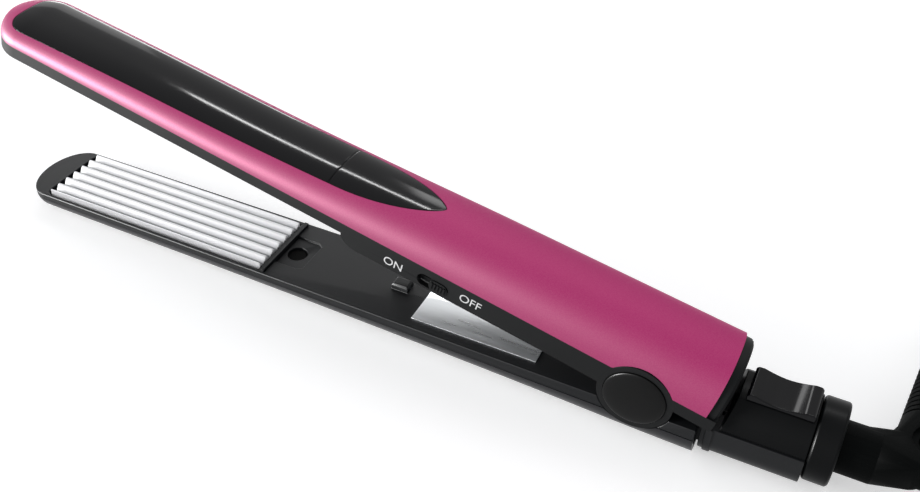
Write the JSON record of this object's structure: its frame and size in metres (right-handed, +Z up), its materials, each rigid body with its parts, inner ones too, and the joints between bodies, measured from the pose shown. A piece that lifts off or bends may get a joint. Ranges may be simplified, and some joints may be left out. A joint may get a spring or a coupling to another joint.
{
  "type": "hair crimper",
  "caption": "Hair crimper: long ribbed plates on two hinged arms, with a side switch, a tail lock and a swivelling cord.",
  "frame": {"origin": "middle of the tool's underside, on the table, measured without the cord's boot, cord and plug", "axes": "+X from the tips to the cord end of the tool, +Y across the arms away from the switch, +Z up from the table"},
  "size_m": [0.4278, 0.1, 0.0753],
  "materials": {
    "pink_shell": "pearl",
    "gloss_black": "gloss",
    "satin_black": "satin",
    "charcoal": "matte",
    "plate": "satin",
    "ceramic": "matte",
    "steel": "satin",
    "foil": "satin",
    "board": "satin",
    "boot": "matte",
    "cord": "satin",
    "plug": "satin",
    "pins": "polished"
  },
  "bodies": {
    "lower_arm": {"lower_cover": "satin_black", "lower_housing": "charcoal", "lower_plate_frame": "charcoal", "lower_crimp_plate": "plate", "lower_heater": "ceramic", "lower_heater_clip": "steel", "lower_screw": "steel", "rating_label": "foil", "tail_top": "satin_black", "tail_collar": "satin_black", "hinge_pin": "steel", "return_spring": "steel"},
    "upper_arm": {"upper_cover": "pink_shell", "front_inlay": "gloss_black", "rear_inlay": "gloss_black", "upper_housing": "charcoal", "upper_plate_frame": "charcoal", "upper_crimp_plate": "plate", "upper_heater": "ceramic", "upper_heater_clip": "steel", "upper_screw": "steel", "switch_body": "charcoal", "circuit_board": "board", "pivot_cap_near": "satin_black", "pivot_cap_far": "satin_black", "lock_catch": "charcoal"},
    "switch": {"switch_slider": "charcoal"},
    "lock": {"lock_slider": "gloss_black"},
    "cord": {"cord_boot": "boot", "cord_lead": "cord", "cord_coil": "cord", "cord_end": "cord", "plug_body": "plug", "plug_pins": "pins"}
  },
  "joints": [
    {"name": "arm_hinge", "type": "hinge", "parent": "lower_arm", "child": "upper_arm", "pos_m": [0.08783, 0, 0.0182], "axis": [0, 1, 0], "range_deg": [-14, 0], "stiffness_Nm_per_rad": 0.6, "springref_deg": 34.38},
    {"name": "lock_slide", "type": "slide", "parent": "lower_arm", "child": "lock", "axis": [-0.9997, 0, -0.0235], "range_m": [0, 0.003]},
    {"name": "switch_slide", "type": "slide", "parent": "upper_arm", "child": "switch", "axis": [-0.9757, 0, 0.2191], "range_m": [0, 0.004]},
    {"name": "cord_swivel", "type": "hinge", "parent": "lower_arm", "child": "cord", "pos_m": [0.14207, 0, 0.01297], "axis": [0.9997, 0, 0.0235], "continuous": true}
  ]
}
